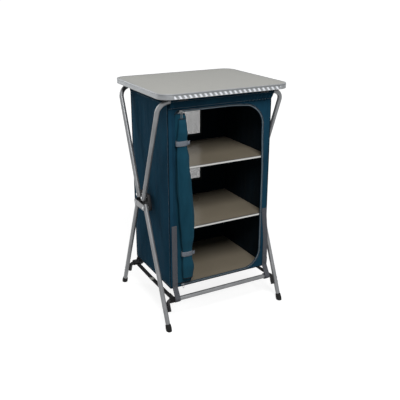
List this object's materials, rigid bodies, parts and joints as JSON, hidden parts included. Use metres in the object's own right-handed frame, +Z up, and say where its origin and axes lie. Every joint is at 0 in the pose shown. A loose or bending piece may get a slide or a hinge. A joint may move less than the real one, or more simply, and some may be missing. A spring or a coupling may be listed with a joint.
{
  "type": "camping kitchen unit",
  "caption": "Folding camping kitchen unit: a worktop on crossed tube legs over a fabric cabinet with shelves, mesh windows and a rolled-up zip door.",
  "frame": {"origin": "on the floor, under the middle of the unit", "axes": "+Z up, -Y to the front with the door, +X to the right seen from the front"},
  "size_m": [0.6096, 0.5482, 1.026],
  "materials": {
    "grey_tube": "satin grey paint on round steel tube",
    "grey_plate": "satin grey paint on pressed steel",
    "black_plastic": "moulded, fine grain",
    "foot_rubber": "matt",
    "blue_fabric": "coated woven polyester",
    "window_mesh": "open net",
    "grey_webbing": "woven webbing",
    "black_webbing": "woven webbing",
    "pale_tape": "woven tape",
    "worktop": "laminated board, satin",
    "shelf_board": "laminated board, semi-gloss",
    "aluminium_edge": "bright, grooved",
    "pale_trim": "smooth extruded",
    "zip_chain": "coil zip",
    "zip_metal": "plated casting",
    "steel": "zinc plated"
  },
  "bodies": {
    "rear_lower_frame": {"rear_left_lower_leg": "grey_tube", "rear_right_lower_leg": "grey_tube", "rear_rail": "grey_tube", "rear_rail_elbows": "black_plastic", "rear_elbow_rivets": "steel", "rear_feet": "foot_rubber", "rear_lower_plugs": "black_plastic", "rear_strap_loops": "black_webbing", "side_straps": "black_webbing", "side_strap_bands": "pale_tape"},
    "hub": {"left_hub_block": "black_plastic", "right_hub_block": "black_plastic", "left_hub_plate": "grey_plate", "right_hub_plate": "grey_plate", "left_hub_pins": "steel", "right_hub_pins": "steel", "left_side_panel": "blue_fabric", "right_side_panel": "blue_fabric", "front_panel": "blue_fabric", "back_panel": "blue_fabric", "mesh_windows": "window_mesh", "cabinet_floor": "blue_fabric", "cabinet_roof": "blue_fabric", "rolled_door": "blue_fabric", "door_ties": "pale_tape", "front_straps": "grey_webbing", "rear_straps": "grey_webbing"},
    "front_lower_frame": {"front_left_lower_leg": "grey_tube", "front_right_lower_leg": "grey_tube", "front_rail": "grey_tube", "front_rail_elbows": "black_plastic", "front_elbow_rivets": "steel", "front_feet": "foot_rubber", "front_lower_plugs": "black_plastic", "front_strap_loops": "black_webbing"},
    "front_upper_frame": {"front_upper_frame": "grey_tube", "front_upper_plugs": "black_plastic", "front_bar_sleeve": "blue_fabric"},
    "rear_upper_frame": {"rear_upper_frame": "grey_tube", "rear_upper_plugs": "black_plastic", "rear_bar_sleeve": "blue_fabric"},
    "tabletop": {"tabletop_board": "worktop", "tabletop_edge": "aluminium_edge", "tabletop_cleats": "black_plastic", "cleat_screws": "steel"},
    "upper_shelf": {"upper_shelf": "shelf_board", "upper_shelf_trim": "pale_trim", "upper_shelf_sling": "blue_fabric"},
    "lower_shelf": {"lower_shelf": "shelf_board", "lower_shelf_trim": "pale_trim", "lower_shelf_sling": "blue_fabric"},
    "bottom_board": {"bottom_board": "shelf_board", "bottom_board_trim": "pale_trim"},
    "door_edge": {"door_zip_chain": "zip_chain"},
    "upper_slider": {"upper_zip_slider": "zip_metal"},
    "lower_slider": {"lower_zip_slider": "zip_metal"},
    "upper_puller": {"upper_zip_puller": "zip_metal"},
    "lower_puller": {"lower_zip_puller": "zip_metal"}
  },
  "joints": [
    {"name": "fold", "type": "hinge", "parent": "rear_lower_frame", "child": "hub", "pos_m": [0, 0.044, 0.503], "axis": [1, 0, 0], "range_deg": [0, 20], "deforming": ["left_side_panel", "right_side_panel", "front_panel", "back_panel", "mesh_windows", "cabinet_floor", "cabinet_roof", "rolled_door", "door_ties", "front_straps", "rear_straps", "side_straps", "side_strap_bands", "front_bar_sleeve", "rear_bar_sleeve", "door_zip_chain"]},
    {"name": "front_lower_fold", "type": "hinge", "parent": "hub", "child": "front_lower_frame", "pos_m": [0, -0.044, 0.503], "axis": [1, 0, 0], "range_deg": [0, 20]},
    {"name": "front_upper_fold", "type": "hinge", "parent": "hub", "child": "front_upper_frame", "pos_m": [0, -0.027, 0.543], "axis": [1, 0, 0], "range_deg": [-20, 0]},
    {"name": "rear_upper_fold", "type": "hinge", "parent": "hub", "child": "rear_upper_frame", "pos_m": [0, 0.027, 0.543], "axis": [1, 0, 0], "range_deg": [0, 20]},
    {"name": "tabletop_lift", "type": "slide", "parent": "hub", "child": "tabletop", "axis": [0, 0, 1], "range_m": [0, 0.1]},
    {"name": "upper_shelf_tilt", "type": "hinge", "parent": "hub", "child": "upper_shelf", "pos_m": [0, 0, 0.701], "axis": [1, 0, 0], "range_deg": [0, 82]},
    {"name": "lower_shelf_tilt", "type": "hinge", "parent": "hub", "child": "lower_shelf", "pos_m": [0, 0, 0.428], "axis": [1, 0, 0], "range_deg": [0, 82]},
    {"name": "bottom_board_tilt", "type": "hinge", "parent": "hub", "child": "bottom_board", "pos_m": [0, -0.0949, 0.249], "axis": [1, 0, 0], "range_deg": [0, 82]},
    {"name": "door_edge_slide", "type": "slide", "parent": "hub", "child": "door_edge", "axis": [0, 1, 0], "range_m": [0, 0.1425]},
    {"name": "upper_zip_slide", "type": "slide", "parent": "door_edge", "child": "upper_slider", "axis": [1, 0, 0], "range_m": [0, 0.28]},
    {"name": "lower_zip_slide", "type": "slide", "parent": "door_edge", "child": "lower_slider", "axis": [1, 0, 0], "range_m": [0, 0.28]},
    {"name": "upper_puller_swing", "type": "hinge", "parent": "upper_slider", "child": "upper_puller", "pos_m": [-0.188, -0.1986, 0.9435], "axis": [-1, 0, 0], "range_deg": [0, 120]},
    {"name": "lower_puller_swing", "type": "hinge", "parent": "lower_slider", "child": "lower_puller", "pos_m": [-0.188, -0.1986, 0.1705], "axis": [-1, 0, 0], "range_deg": [0, 120]}
  ],
  "couplings": [
    {"joint": "front_lower_fold", "follows": "fold", "ratio": 1},
    {"joint": "front_upper_fold", "follows": "fold", "ratio": -1},
    {"joint": "rear_upper_fold", "follows": "fold", "ratio": 1},
    {"joint": "tabletop_lift", "follows": "fold", "m_per_rad": 0.286},
    {"joint": "upper_shelf_tilt", "follows": "fold", "ratio": 4.1},
    {"joint": "lower_shelf_tilt", "follows": "fold", "ratio": 4.1},
    {"joint": "bottom_board_tilt", "follows": "fold", "ratio": 4.1},
    {"joint": "door_edge_slide", "follows": "fold", "m_per_rad": 0.408}
  ]
}
